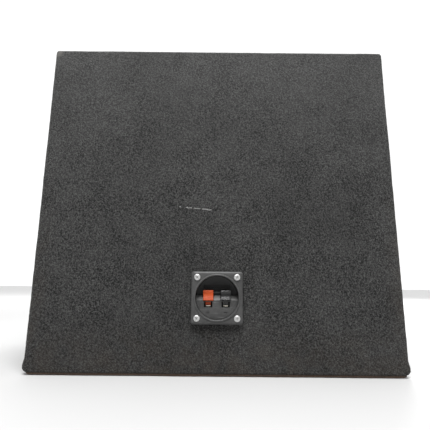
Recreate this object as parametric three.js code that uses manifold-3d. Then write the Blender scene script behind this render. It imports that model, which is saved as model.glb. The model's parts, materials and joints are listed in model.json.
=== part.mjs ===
// A carpeted car subwoofer: a sealed box of fibreboard panels, a push-terminal cup in the back panel and
// a 12-inch driver in the front baffle. Millimetres, +Z up, the terminal side faces -Y and the driver +Y.
// The origin is the centre of the footprint, on the floor.

import * as THREE from 'three';
import { mergeVertices } from 'three/addons/utils/BufferGeometryUtils.js';
import Module from 'manifold-3d';

const wasm = await Module();
wasm.setup();

// ---- driving dimensions ----

const GAP = 0.3;                 // clearance between neighbouring pieces
const ROUND = 32;                // sides of a turned piece
const SMALL_ROUND = 8;           // sides of a screw hole

// box
const WIDTH = 420;
const HEIGHT = 393;
const DEPTH = 300;
const CARPET = 2.7;
const BOARD = 16;
const BAFFLE = 19;
const CARPET_FOLD = 4;           // outer radius where the carpet turns over an edge

// terminal cup, measured from the middle of its round recess
const CUP_HEIGHT = 83.5;         // centre above the floor
const PLATE = 57.5;
const PLATE_THICK = 2.6;
const PLATE_BEVEL = 1.6;
const PLATE_CORNER = 1.8;
const BEAD = { width: 2, height: 1 };    // raised rim round the recess
const CUP_GASKET = 1;
const RECESS = 24;               // radius
const RECESS_DEPTH = 17;
const CUP_WALL = 2;
const CUP_FLOOR = 2.5;
const CUP_SCREW_PITCH = 44.5;
const LEDGE = { front: 4, rear: 9.1, low: -3.1, high: 2 };    // sloping front edge of the terminal block
const TAB_PITCH = 19.6;
const TAB_WIDTH = 11.3;
const TAB_PLAY = 0.35;
const PIVOT = { y: 9.5, z: -3, radius: 1.2, length: 0.9 };
const STEM = { width: 5.8, y: [8, 10.5], z: [-8.2, 1] };
const TAB_NOTCH = 0.7;           // depth below the ledge's front that a pressed lip swings into
const PARTITION = { front: 9.5, web: 13.5, foot: -2, shelf: 4.9, top: 6.4 };    // stands between the tabs
const WIRE_HOLE = { width: 9.2, low: -10.6, high: -4.6 };
const MARK = { arm: 1.7, line: 0.5, depth: 1, z: -16.2 };    // sunk + and - below the wire holes
const SLOT = { half: 15.8, low: 10, high: 13.9, depth: 1.5 };    // dark pocket above the tabs
const CHAMBER = { front: 6.2, floor: -11.3 };
const BLADE = { width: 5, thick: 0.8, z: -9.1 };    // contact strip, under the stem of a lever

// driver, measured from the carpet's front face, +Y outward
const FRAME_RADIUS = 156;
const CUTOUT_RADIUS = 141;
const DRIVER_GASKET = 2;
const STEEL = 2;                 // sheet of the basket
const LANDING_RADIUS = 134;      // outer foot of the surround's roll
const CONE_RADIUS = 110;         // inner foot of the surround's roll
const CONE_NECK_Y = -52;
const CONE_SHEET = 1.2;
const SURROUND_SHEET = 1.2;
const COIL_RADIUS = 25;          // inside of the voice-coil former
const FORMER_SHEET = 0.7;
const SPIDER_Y = -74;
const CAN_BOTTOM_Y = -95;
const CAN_RADIUS = 61;
const SHELF_RADIUS = 74;         // outer edge of the ledge that the spider is glued to
const CLOTH = 0.8;               // spider and dust cap
const DUST_CAP = { radius: 48, rise: 17 };
const BASKET_WINDOW = { inner: 87, outer: 122 };
const TOP_PLATE = 8;
const MAGNET = { inner: 34, outer: 70, thick: 22 };
const YOKE = { radius: 62, plate: 8, pole: 24.3, vent: 7 };
const DRIVER_SCREWS = 8;
const DRIVER_SCREW_CIRCLE = 150.8;
const BASKET_WINDOWS = 6;

// internal leads
const LEAD_RADIUS = 1.6;
const SPADE = { width: 6.3, thick: 0.8 };
const TERMINAL_X = 19;           // driver terminals either side of the middle
const TERMINAL_Z = -92;          // below the driver's axis

// ---- derived dimensions ----

const SKIN = CARPET + GAP;
const BOX = { x: WIDTH - 2 * SKIN, y: DEPTH - 2 * SKIN, z: HEIGHT - 2 * SKIN };
const BACK_FACE = -DEPTH / 2;
const FRONT_FACE = DEPTH / 2;
const MID_HEIGHT = HEIGHT / 2;
const CUP_FRONT = BACK_FACE - CUP_GASKET - 2 * GAP - PLATE_THICK;
const BARREL_RADIUS = RECESS + CUP_WALL;
const CUP_HOLE_RADIUS = BARREL_RADIUS + 1;
const CUP_REAR = RECESS_DEPTH + CUP_FLOOR;
const CUP_SCREW = { head: 3.55, dome: 2.4, shank: 1.75, length: 18, sides: 16 };
const DRIVER_SCREW = { head: 4.8, dome: 3.2, shank: 2.4, length: 26, sides: 10 };
const SCREW_PLAY = 0.35;
const FLANGE_Y = DRIVER_GASKET + 2 * GAP + STEEL / 2;
const LAND_Y = FLANGE_Y + STEEL / 2 + GAP + SURROUND_SHEET / 2;
const CONE_EDGE_Y = LAND_Y - SURROUND_SHEET / 2 - GAP - CONE_SHEET / 2;
const NECK_RADIUS = COIL_RADIUS + FORMER_SHEET + GAP;
const SHELF_Y = SPIDER_Y - GAP - STEEL / 2 - 0.5;
const TOP_PLATE_Y = CAN_BOTTOM_Y - STEEL / 2 - GAP - TOP_PLATE;
const MAGNET_Y = TOP_PLATE_Y - GAP - MAGNET.thick;
const YOKE_Y = MAGNET_Y - GAP - YOKE.plate;
const WALL = { foot: [80, -70], head: [129, -26] };    // conical wall of the basket, [radius, y]
const SIDES = { red: -1, black: 1 };                    // red on -X, black on +X

// ---- materials ----

const FINISH = {
  carpet: [0x45454a, 1, 0],
  fibreboard: [0xa98c66, 0.85, 0],
  blackPlastic: [0x4a4b4f, 0.5, 0],
  redPlastic: [0xc8502a, 0.45, 0],
  tabBlack: [0x202124, 0.45, 0],
  zinc: [0xb9bcc0, 0.32, 1],
  blackZinc: [0x2a2a2c, 0.4, 1],
  brass: [0xb8a06a, 0.35, 1],
  springSteel: [0xa8aaad, 0.3, 1],
  paintedSteel: [0x1d1e20, 0.5, 0.6],
  foam: [0x2b2b2c, 0.95, 0],
  rubber: [0x19191a, 0.7, 0],
  paper: [0x26262a, 0.8, 0],
  former: [0xc9b48a, 0.5, 0.2],
  copper: [0xb66a3c, 0.35, 1],
  spiderCloth: [0xb58a3e, 0.9, 0],
  ferrite: [0x37373a, 0.7, 0.1],
  redJacket: [0xb3261f, 0.5, 0],
  blackJacket: [0x1b1b1c, 0.5, 0],
};

function named(name, geometry, finish, position = [0, 0, 0]) {
  const [color, roughness, metalness] = FINISH[finish];
  const mesh = new THREE.Mesh(geometry, new THREE.MeshStandardMaterial({ color, roughness, metalness }));
  mesh.name = name;
  mesh.position.set(...position);
  return mesh;
}

// ---- shape helpers ----

function block(x, y, z) {
  const size = [x[1] - x[0], y[1] - y[0], z[1] - z[0]];
  const middle = [x, y, z].map(([low, high]) => (low + high) / 2);
  return new THREE.BoxGeometry(...size).translate(...middle);
}

// A round bar along Y.
function bar(radius, y, at = [0, 0], sides = ROUND) {
  const geometry = new THREE.CylinderGeometry(radius, radius, y[1] - y[0], sides);
  return geometry.translate(at[0], (y[0] + y[1]) / 2, at[1]);
}

// A solid of revolution about Y. The outline is [radius, y] points, counter-clockwise; it either starts and
// ends on the axis or is closed here.
function turned(outline, sides = ROUND) {
  const closed = outline[0][0] === 0 ? outline : [...outline, outline[0]];
  return new THREE.LatheGeometry(closed.map(([radius, y]) => new THREE.Vector2(radius, y)), sides);
}

function ring(inner, outer, y, sides = ROUND) {
  return turned([[inner, y[0]], [outer, y[0]], [outer, y[1]], [inner, y[1]]], sides);
}

// A sheet of even thickness turned about Y. The path runs outward from the axis along the sheet's middle.
function turnedSheet(path, thickness, sides = ROUND) {
  const offset = (distance) => path.map(([radius, y], i) => {
    const [r0, y0] = path[Math.max(i - 1, 0)];
    const [r1, y1] = path[Math.min(i + 1, path.length - 1)];
    const length = Math.hypot(r1 - r0, y1 - y0);
    const across = radius === 0 ? 0 : (y1 - y0) / length;
    return [radius + across * distance, y - ((r1 - r0) / length) * distance];
  });
  return turned([...offset(thickness / 2), ...offset(-thickness / 2).reverse()], sides);
}

function outline(points) {
  return new THREE.Shape(points.map(([u, v]) => new THREE.Vector2(u, v)));
}

// Extrudes a [y, z] outline along X.
function extrudedAlongX(shape, x) {
  const geometry = new THREE.ExtrudeGeometry(shape, {
    depth: x[1] - x[0], bevelEnabled: false, curveSegments: 4,
  });
  geometry.applyMatrix4(new THREE.Matrix4().makeBasis(
    new THREE.Vector3(0, 1, 0), new THREE.Vector3(0, 0, 1), new THREE.Vector3(1, 0, 0)));
  return geometry.translate(x[0], 0, 0);
}

// Extrudes an [x, z] outline along Y.
function extrudedAlongY(shape, y, options = {}) {
  const geometry = new THREE.ExtrudeGeometry(shape, {
    depth: y[1] - y[0], bevelEnabled: false, curveSegments: 4, ...options,
  });
  geometry.rotateX(Math.PI / 2);
  return geometry.translate(0, y[1], 0);
}

function manifold(geometry) {
  const bare = geometry.clone();
  bare.deleteAttribute('normal');
  bare.deleteAttribute('uv');
  const merged = mergeVertices(bare, 1e-4);
  return new wasm.Manifold(new wasm.Mesh({
    numProp: 3,
    vertProperties: new Float32Array(merged.attributes.position.array),
    triVerts: new Uint32Array(merged.index.array),
  }));
}

// Joins the added geometries into the first one and takes the cut ones away.
function carved(base, { add = [], cut = [] }) {
  let body = manifold(base);
  for (const piece of add) body = body.add(manifold(piece));
  for (const piece of cut) body = body.subtract(manifold(piece));
  const mesh = body.getMesh();
  const geometry = new THREE.BufferGeometry();
  geometry.setAttribute('position', new THREE.BufferAttribute(mesh.vertProperties, 3));
  geometry.setIndex(new THREE.BufferAttribute(mesh.triVerts, 1));
  geometry.computeVertexNormals();
  return geometry;
}

function around(count, radius, start = 0) {
  return Array.from({ length: count }, (_, i) => {
    const angle = start + (i * 2 * Math.PI) / count;
    return [radius * Math.cos(angle), radius * Math.sin(angle)];
  });
}

function corners(pitch) {
  return [[-1, 1], [1, 1], [-1, -1], [1, -1]].map(([x, z]) => [(x * pitch) / 2, (z * pitch) / 2]);
}

// ---- enclosure ----

const cupScrewHoles = corners(CUP_SCREW_PITCH).map(([x, z]) => [x, z + CUP_HEIGHT]);
const driverScrewHoles = around(DRIVER_SCREWS, DRIVER_SCREW_CIRCLE, Math.PI / DRIVER_SCREWS)
  .map(([x, z]) => [x, z + MID_HEIGHT]);

// Round holes through a wall of the box, from one side of it to the other.
function cupHoles(y) {
  const screws = cupScrewHoles.map((at) => bar(CUP_SCREW.shank + SCREW_PLAY, y, at, SMALL_ROUND));
  return [bar(CUP_HOLE_RADIUS, y, [0, CUP_HEIGHT]), ...screws];
}

function driverHoles(y) {
  const screws = driverScrewHoles.map((at) => bar(DRIVER_SCREW.shank + SCREW_PLAY, y, at, SMALL_ROUND));
  return [bar(CUTOUT_RADIUS, y, [0, MID_HEIGHT]), ...screws];
}

function panels() {
  const x = [-BOX.x / 2, BOX.x / 2];
  const z = [SKIN, HEIGHT - SKIN];
  const back = [-BOX.y / 2, -BOX.y / 2 + BOARD];
  const front = [BOX.y / 2 - BAFFLE, BOX.y / 2];
  const between = [back[1] + GAP, front[0] - GAP];
  const bottom = [z[0], z[0] + BOARD];
  const top = [z[1] - BOARD, z[1]];
  const sideZ = [bottom[1] + GAP, top[0] - GAP];
  const backPanel = carved(block(x, back, z), { cut: cupHoles([back[0] - 1, back[1] + 1]) });
  const baffle = carved(block(x, front, z), { cut: driverHoles([front[0] - 1, front[1] + 1]) });
  return [
    named('back_panel', backPanel, 'fibreboard'),
    named('front_baffle', baffle, 'fibreboard'),
    named('bottom_panel', block(x, between, bottom), 'fibreboard'),
    named('top_panel', block(x, between, top), 'fibreboard'),
    named('left_panel', block([x[0], x[0] + BOARD], between, sideZ), 'fibreboard'),
    named('right_panel', block([x[1] - BOARD, x[1]], between, sideZ), 'fibreboard'),
  ];
}

// One strip runs up the front, over the top and down the back; separate pieces cover the sides and bottom.
function carpets() {
  const y = [BACK_FACE, FRONT_FACE];
  const inner = [y[0] + CARPET, y[1] - CARPET];
  const section = new THREE.Shape();
  section.moveTo(y[1], SKIN);
  section.lineTo(y[1], HEIGHT - CARPET_FOLD);
  section.absarc(y[1] - CARPET_FOLD, HEIGHT - CARPET_FOLD, CARPET_FOLD, 0, Math.PI / 2);
  section.lineTo(y[0] + CARPET_FOLD, HEIGHT);
  section.absarc(y[0] + CARPET_FOLD, HEIGHT - CARPET_FOLD, CARPET_FOLD, Math.PI / 2, Math.PI);
  section.lineTo(y[0], SKIN);
  section.lineTo(inner[0], SKIN);
  section.lineTo(inner[0], HEIGHT - CARPET);
  section.lineTo(inner[1], HEIGHT - CARPET);
  section.lineTo(inner[1], SKIN);
  const wrap = carved(extrudedAlongX(section, [-WIDTH / 2, WIDTH / 2]), {
    cut: [...cupHoles([y[0] - 1, inner[0] + 1]), ...driverHoles([inner[1] - 1, y[1] + 1])],
  });
  const sideY = [-BOX.y / 2, BOX.y / 2];
  const sideZ = [SKIN, HEIGHT - SKIN];
  const side = block([0, CARPET], sideY, sideZ);
  return [
    named('carpet_wrap', wrap, 'carpet'),
    named('carpet_left', side, 'carpet', [-WIDTH / 2, 0, 0]),
    named('carpet_right', side.clone(), 'carpet', [WIDTH / 2 - CARPET, 0, 0]),
    named('carpet_bottom', block([-WIDTH / 2, WIDTH / 2], y, [0, CARPET]), 'carpet'),
  ];
}

// ---- screws ----

// A cross-head screw along Y with its head towards +Y and the underside of the head at y = 0.
function screw({ head, dome, shank, length, sides }) {
  const domeArc = Array.from({ length: 4 }, (_, i) => {
    const angle = (i * Math.PI) / 8;
    return [head * Math.cos(angle), dome * (0.3 + 0.7 * Math.sin(angle))];
  });
  const point = [[0, -length], [shank, 3 * shank - length]];
  const body = turned([...point, [shank, 0], [head, 0], ...domeArc, [0, dome]], sides);
  const arm = [head * 0.52, head * 0.12];
  const depth = [dome * 0.4, dome + 1];
  return carved(body, { cut: [
    block([-arm[0], arm[0]], depth, [-arm[1], arm[1]]),
    block([-arm[1], arm[1]], depth, [-arm[0], arm[0]]),
  ] });
}

// ---- terminal cup: y = 0 at the front of its plate and grows into the box ----

// A square outline with rounded corners.
function roundedSquare(side, radius) {
  const half = side / 2;
  const shape = new THREE.Shape();
  shape.moveTo(half, radius - half);
  shape.absarc(half - radius, half - radius, radius, 0, Math.PI / 2);
  shape.absarc(radius - half, half - radius, radius, Math.PI / 2, Math.PI);
  shape.absarc(radius - half, radius - half, radius, Math.PI, 1.5 * Math.PI);
  shape.absarc(half - radius, radius - half, radius, 1.5 * Math.PI, 2 * Math.PI);
  return shape;
}

// The plate's front edge slopes back all round; the slot above the tabs is a blind pocket in the floor.
function cupBody() {
  const face = roundedSquare(PLATE - 2 * PLATE_BEVEL, PLATE_CORNER - PLATE_BEVEL);
  const bevelled = extrudedAlongY(face, [0, PLATE_THICK], {
    depth: PLATE_THICK - PLATE_BEVEL,
    bevelEnabled: true,
    bevelSize: PLATE_BEVEL,
    bevelThickness: PLATE_BEVEL,
    bevelSegments: 1,
  });
  const behind = block([-PLATE, PLATE], [PLATE_THICK, PLATE_THICK + 2 * PLATE_BEVEL], [-PLATE, PLATE]);
  const plate = carved(bevelled, { cut: [behind] });
  const slotY = [RECESS_DEPTH - 1, RECESS_DEPTH + SLOT.depth];
  const slot = block([-SLOT.half, SLOT.half], slotY, [SLOT.low, SLOT.high]);
  const blades = Object.values(SIDES).map((side) => block(
    [side * TAB_PITCH / 2 - BLADE.width / 2 - GAP, side * TAB_PITCH / 2 + BLADE.width / 2 + GAP],
    [RECESS_DEPTH - 1, CUP_REAR + 1],
    [BLADE.z - BLADE.thick / 2 - GAP, BLADE.z + BLADE.thick / 2 + GAP]));
  const screws = corners(CUP_SCREW_PITCH).map((at) => (
    bar(CUP_SCREW.shank + SCREW_PLAY, [-1, PLATE_THICK + 1], at, SMALL_ROUND)));
  const bead = bar(RECESS + BEAD.width, [-BEAD.height, PLATE_THICK / 2]);
  return carved(plate, {
    add: [bead, bar(BARREL_RADIUS, [PLATE_THICK / 2, CUP_REAR])],
    cut: [bar(RECESS, [-1, RECESS_DEPTH]), slot, ...blades, ...screws],
  });
}

// The block fills the lower half of the recess. It holds both levers in open-backed chambers.
function terminalBlock() {
  const rear = RECESS_DEPTH - GAP;
  const above = outline([
    [LEDGE.front - 1, LEDGE.low],
    [LEDGE.front, LEDGE.low],
    [LEDGE.rear, LEDGE.high],
    [rear + 1, LEDGE.high],
    [rear + 1, RECESS + 1],
    [LEDGE.front - 1, RECESS + 1],
  ]);
  const halfTab = TAB_WIDTH / 2 + TAB_PLAY;
  const partitionHalf = TAB_PITCH / 2 - halfTab;
  const partition = extrudedAlongX(outline([[PARTITION.web, PARTITION.foot], [rear, PARTITION.foot],
    [rear, PARTITION.top], [PARTITION.front, PARTITION.top], [PARTITION.front, PARTITION.shelf],
    [PARTITION.web, PARTITION.shelf]]), [-partitionHalf, partitionHalf]);
  const front = [LEDGE.front - 1, CHAMBER.front + 1];
  const mark = (middle, across, up) => block([middle - across, middle + across],
    [LEDGE.front - 1, LEDGE.front + MARK.depth], [MARK.z - up, MARK.z + up]);
  const cuts = [mark((SIDES.red * TAB_PITCH) / 2, MARK.line, MARK.arm)];
  for (const side of Object.values(SIDES)) {
    const middle = (side * TAB_PITCH) / 2;
    const x = [middle - halfTab, middle + halfTab];
    const pivotHole = PIVOT.radius + TAB_PLAY;
    cuts.push(block(x, [CHAMBER.front, rear + 1], [CHAMBER.floor, LEDGE.high + 1]));
    cuts.push(block(x, front, [LEDGE.low - TAB_NOTCH, LEDGE.high + 1]));
    cuts.push(block([middle - WIRE_HOLE.width / 2, middle + WIRE_HOLE.width / 2], front,
      [WIRE_HOLE.low, WIRE_HOLE.high]));
    cuts.push(new THREE.CylinderGeometry(pivotHole, pivotHole, 2 * (halfTab + PIVOT.length + GAP), 16)
      .rotateZ(Math.PI / 2).translate(middle, PIVOT.y, PIVOT.z));
    cuts.push(mark(middle, MARK.arm, MARK.line));
  }
  const disc = bar(RECESS - GAP, [LEDGE.front, rear], [0, 0]);
  const platform = carved(disc, { cut: [extrudedAlongX(above, [-RECESS, RECESS])] });
  return carved(platform, { add: [partition], cut: cuts });
}

// The lever: a thumb pad with a hollow face and a sloping lip, a stem down into the chamber, and pivot studs.
function pushTab() {
  const half = TAB_WIDTH / 2;
  const pad = new THREE.Shape();
  pad.moveTo(10.6, 3.6);
  pad.lineTo(7.4, 7.5);
  pad.quadraticCurveTo(7, 8, 6, 7.9);
  pad.quadraticCurveTo(5, 7.8, 4.8, 6.8);
  pad.quadraticCurveTo(5.7, 4.2, 4.4, 1);
  pad.lineTo(3.2, -2.3);
  pad.quadraticCurveTo(2.8, -3.3, 3.4, -3.1);
  pad.lineTo(8, 0.9);
  pad.lineTo(8, PIVOT.z - 1.4);
  pad.lineTo(10.6, PIVOT.z - 1.4);
  const stem = block([-STEM.width / 2, STEM.width / 2], STEM.y, STEM.z);
  const studs = new THREE.CylinderGeometry(PIVOT.radius, PIVOT.radius, 2 * (half + PIVOT.length), 16)
    .rotateZ(Math.PI / 2).translate(0, PIVOT.y, PIVOT.z);
  return carved(extrudedAlongX(pad, [-half, half]), { add: [stem, studs] });
}

// A bent strip along a [y, z] path, extruded to its width along X.
function strip(path, thickness, width) {
  const side = (distance) => path.map(([y, z], i) => {
    const [y0, z0] = path[Math.max(i - 1, 0)];
    const [y1, z1] = path[Math.min(i + 1, path.length - 1)];
    const length = Math.hypot(y1 - y0, z1 - z0);
    return [y + ((z1 - z0) / length) * distance, z - ((y1 - y0) / length) * distance];
  });
  const shape = outline([...side(thickness / 2), ...side(-thickness / 2).reverse()]);
  return extrudedAlongX(shape, [-width / 2, width / 2]);
}

function leafSpring() {
  const bend = { y: 13.6, z: -4.8, radius: 2 };
  const turn = steps(6, (t) => [
    bend.y - bend.radius * Math.cos(Math.PI * t), bend.z - bend.radius * Math.sin(Math.PI * t)]);
  return strip([[11.2, -1.6], ...turn, [15.9, -1]], 0.4, 6);
}

// The contact lies behind the wire hole, edge on, and runs back through the cup's floor as a push-on blade.
function contact() {
  return block([-BLADE.width / 2, BLADE.width / 2], [CHAMBER.front + 0.4, CUP_REAR + 14],
    [BLADE.z - BLADE.thick / 2, BLADE.z + BLADE.thick / 2]);
}

function terminalCup() {
  const group = new THREE.Group();
  group.position.set(0, CUP_FRONT, CUP_HEIGHT);
  const gasketHoles = corners(CUP_SCREW_PITCH).map((at) => (
    bar(CUP_SCREW.shank + SCREW_PLAY, [-1, CUP_GASKET + 1], at, SMALL_ROUND)));
  const gasketPlate = extrudedAlongY(roundedSquare(PLATE - 1, PLATE_CORNER), [0, CUP_GASKET]);
  const barrelHole = bar(CUP_HOLE_RADIUS, [-1, CUP_GASKET + 1]);
  const gasket = carved(gasketPlate, { cut: [barrelHole, ...gasketHoles] });
  group.add(named('terminal_cup', cupBody(), 'blackPlastic'));
  group.add(named('terminal_block', terminalBlock(), 'blackPlastic'));
  group.add(named('cup_gasket', gasket, 'foam', [0, PLATE_THICK + GAP, 0]));
  for (const [colour, side] of Object.entries(SIDES)) {
    const at = [(side * TAB_PITCH) / 2, 0, 0];
    group.add(named(`${colour}_push_tab`, pushTab(), colour === 'red' ? 'redPlastic' : 'tabBlack', at));
    group.add(named(`${colour}_tab_spring`, leafSpring(), 'springSteel', at));
    group.add(named(`${colour}_contact`, contact(), 'brass', at));
  }
  corners(CUP_SCREW_PITCH).forEach(([x, z], i) => {
    const mesh = named(`cup_screw_${i + 1}`, screw(CUP_SCREW), 'zinc', [x, -GAP, z]);
    mesh.rotation.x = Math.PI;
    group.add(mesh);
  });
  return group;
}

// ---- driver: y = 0 at the carpet's front face and grows outward ----

function wallY(radius) {
  const [r0, y0] = WALL.foot;
  const [r1, y1] = WALL.head;
  return y0 + ((radius - r0) * (y1 - y0)) / (r1 - r0);
}

// Pressed steel frame: bottom ring, spider shelf, conical wall with windows, and the screw flange.
function basket() {
  const path = [[MAGNET.inner, CAN_BOTTOM_Y], [CAN_RADIUS - 1, CAN_BOTTOM_Y], [CAN_RADIUS, CAN_BOTTOM_Y + 2],
    [CAN_RADIUS, SHELF_Y - 1], [CAN_RADIUS + 2, SHELF_Y], [SHELF_RADIUS, SHELF_Y], WALL.foot, WALL.head,
    [131, FLANGE_Y - 6], [LANDING_RADIUS - 1, FLANGE_Y], [FRAME_RADIUS, FLANGE_Y]];
  const windowArc = Math.PI / BASKET_WINDOWS - 0.17;
  const window = new THREE.Shape();
  window.absarc(0, 0, BASKET_WINDOW.outer, -windowArc, windowArc);
  window.absarc(0, 0, BASKET_WINDOW.inner, windowArc, -windowArc, true);
  const windows = Array.from({ length: BASKET_WINDOWS }, (_, i) => {
    const through = [wallY(BASKET_WINDOW.inner) - 12, wallY(BASKET_WINDOW.outer) + 12];
    const cut = extrudedAlongY(window, through, { curveSegments: 3 });
    return cut.rotateY((i * 2 * Math.PI) / BASKET_WINDOWS);
  });
  const screws = around(DRIVER_SCREWS, DRIVER_SCREW_CIRCLE, Math.PI / DRIVER_SCREWS).map((at) => (
    bar(DRIVER_SCREW.shank + SCREW_PLAY, [FLANGE_Y - 3, FLANGE_Y + 3], at, SMALL_ROUND)));
  return carved(turnedSheet(path, STEEL), { cut: [...windows, ...screws] });
}

function coneY(radius) {
  const along = (radius - NECK_RADIUS) / (CONE_RADIUS - NECK_RADIUS);
  return CONE_NECK_Y + (CONE_EDGE_Y - CONE_NECK_Y) * along ** 0.85;
}

function steps(count, at) {
  return Array.from({ length: count + 1 }, (_, i) => at(i / count));
}

function cone() {
  const reach = CONE_RADIUS - NECK_RADIUS - 1;
  return turnedSheet(steps(4, (t) => [NECK_RADIUS + 0.6 + reach * t, coneY(NECK_RADIUS + 0.6 + reach * t)]),
    CONE_SHEET);
}

function dustCap() {
  const base = coneY(DUST_CAP.radius) + CONE_SHEET / 2 + GAP + 1;
  return turnedSheet(steps(4, (t) => [DUST_CAP.radius * t, base + DUST_CAP.rise * (1 - t * t)]), CLOTH);
}

function surround() {
  const roll = (LANDING_RADIUS - CONE_RADIUS) / 2;
  const middle = (LANDING_RADIUS + CONE_RADIUS) / 2;
  const arc = steps(6, (t) => [middle - roll * Math.cos(Math.PI * t), LAND_Y + roll * Math.sin(Math.PI * t)]);
  return turnedSheet([[CONE_RADIUS - 6, LAND_Y], ...arc, [146, LAND_Y]], SURROUND_SHEET);
}

function spider() {
  const waves = 3;
  const height = 2.6;
  const inner = 31;
  const outer = 58;
  const ripple = steps(waves * 4, (t) => [
    inner + (outer - inner) * t, SPIDER_Y + height * Math.sin(2 * Math.PI * waves * t)]);
  return turnedSheet([[NECK_RADIUS, SPIDER_Y], ...ripple, [SHELF_RADIUS - 1, SPIDER_Y]], CLOTH, 24);
}

// The yoke: back plate and vented pole piece in one forging.
function yoke() {
  return turned([[YOKE.vent, YOKE_Y], [YOKE.radius, YOKE_Y], [YOKE.radius, YOKE_Y + YOKE.plate],
    [YOKE.pole, YOKE_Y + YOKE.plate], [YOKE.pole, CAN_BOTTOM_Y - 2], [YOKE.vent, CAN_BOTTOM_Y - 2]]);
}

// A wedge behind one spoke of the basket, with a through slot for each terminal blade.
function terminalBoard() {
  const clear = STEEL * 0.75 + GAP;
  const rear = wallY(84) - 12;
  const wedge = outline([[rear, -84], [wallY(84) - clear, -84], [wallY(102) - clear, -102], [rear, -102]]);
  const slots = [-TERMINAL_X, TERMINAL_X].map((x) => block(
    [x - SPADE.width / 2 - GAP, x + SPADE.width / 2 + GAP], [rear - 1, wallY(102) + 1],
    [TERMINAL_Z - SPADE.thick / 2 - GAP, TERMINAL_Z + SPADE.thick / 2 + GAP]));
  return { rear, geometry: carved(extrudedAlongX(wedge, [-25, 25]), { cut: slots }) };
}

// A cord along a smooth curve through the points.
function lead(points, radius, stepsAlong, sides = 8) {
  const section = new THREE.Shape();
  section.absarc(0, 0, radius, 0, 2 * Math.PI);
  const extrudePath = new THREE.CatmullRomCurve3(points.map((point) => new THREE.Vector3(...point)));
  return new THREE.ExtrudeGeometry(section, { steps: stepsAlong, curveSegments: sides, extrudePath });
}

// A push-on receptacle: a flat sleeve along Y round the blade.
function receptacle(blade, y) {
  const half = [blade.width / 2 + GAP, blade.thick / 2 + GAP];
  const sleeve = block([-half[0] - 0.7, half[0] + 0.7], y, [-half[1] - 0.7, half[1] + 0.7]);
  return carved(sleeve, { cut: [block([-half[0], half[0]], [y[0] - 1, y[1] + 1], [-half[1], half[1]])] });
}

function driver() {
  const group = new THREE.Group();
  group.position.set(0, FRONT_FACE, MID_HEIGHT);
  const gasketHoles = around(DRIVER_SCREWS, DRIVER_SCREW_CIRCLE, Math.PI / DRIVER_SCREWS).map((at) => (
    bar(DRIVER_SCREW.shank + SCREW_PLAY, [-1, DRIVER_GASKET + 2], at, SMALL_ROUND)));
  const gasketRing = ring(CUTOUT_RADIUS + 1, FRAME_RADIUS - 1, [GAP, GAP + DRIVER_GASKET]);
  const gasket = carved(gasketRing, { cut: gasketHoles });
  const trimY = LAND_Y + SURROUND_SHEET / 2 + GAP;
  const former = [YOKE_Y + YOKE.plate + 14, CONE_NECK_Y + 4];
  const board = terminalBoard();
  group.add(named('driver_gasket', gasket, 'foam'));
  group.add(named('basket', basket(), 'paintedSteel'));
  group.add(named('surround', surround(), 'rubber'));
  group.add(named('trim_ring', ring(LANDING_RADIUS + 1.5, 145.5, [trimY, trimY + 4]), 'rubber'));
  group.add(named('cone', cone(), 'paper'));
  group.add(named('dust_cap', dustCap(), 'paper'));
  group.add(named('coil_former', ring(COIL_RADIUS, COIL_RADIUS + FORMER_SHEET, former), 'former'));
  const winding = [former[0] + 1, former[0] + 23];
  group.add(named('voice_coil', ring(NECK_RADIUS, NECK_RADIUS + 1.4, winding), 'copper'));
  group.add(named('spider', spider(), 'spiderCloth'));
  group.add(named('top_plate', ring(NECK_RADIUS + 2.2, 60, [TOP_PLATE_Y, TOP_PLATE_Y + TOP_PLATE]), 'zinc'));
  const magnet = ring(MAGNET.inner, MAGNET.outer, [MAGNET_Y, MAGNET_Y + MAGNET.thick]);
  group.add(named('magnet', magnet, 'ferrite'));
  group.add(named('yoke', yoke(), 'zinc'));
  group.add(named('terminal_board', board.geometry, 'blackPlastic'));
  for (const [colour, side] of Object.entries(SIDES)) {
    const x = side * TERMINAL_X;
    const front = wallY(-TERMINAL_Z) - 2.4;
    const blade = block([-SPADE.width / 2, SPADE.width / 2], [board.rear - 9, front],
      [-SPADE.thick / 2, SPADE.thick / 2]);
    group.add(named(`${colour}_driver_terminal`, blade, 'brass', [x, 0, TERMINAL_Z]));
    const tinsel = lead([
      [side * 13, coneY(46) - 2.5, -44], [side * 15, -44, -55], [side * 20, -50, -72], [side * 21, -50, -86],
      [x, front + 3.6, TERMINAL_Z + 0.5], [x, front + 2.2, TERMINAL_Z],
    ], 1, 16, 3);
    group.add(named(`${colour}_tinsel_lead`, tinsel, 'copper'));
    group.add(named(`${colour}_driver_receptacle`,
      receptacle(SPADE, [board.rear - 11, board.rear - 1.5]), 'zinc', [x, 0, TERMINAL_Z]));
  }
  around(DRIVER_SCREWS, DRIVER_SCREW_CIRCLE, Math.PI / DRIVER_SCREWS).forEach(([x, z], i) => {
    const at = [x, FLANGE_Y + STEEL / 2 + GAP, z];
    group.add(named(`driver_screw_${i + 1}`, screw(DRIVER_SCREW), 'blackZinc', at));
  });
  return { group, leadEnd: FRONT_FACE + board.rear - 11.3 };
}

// ---- leads inside the box, from the cup's blades to the driver's terminals ----

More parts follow.
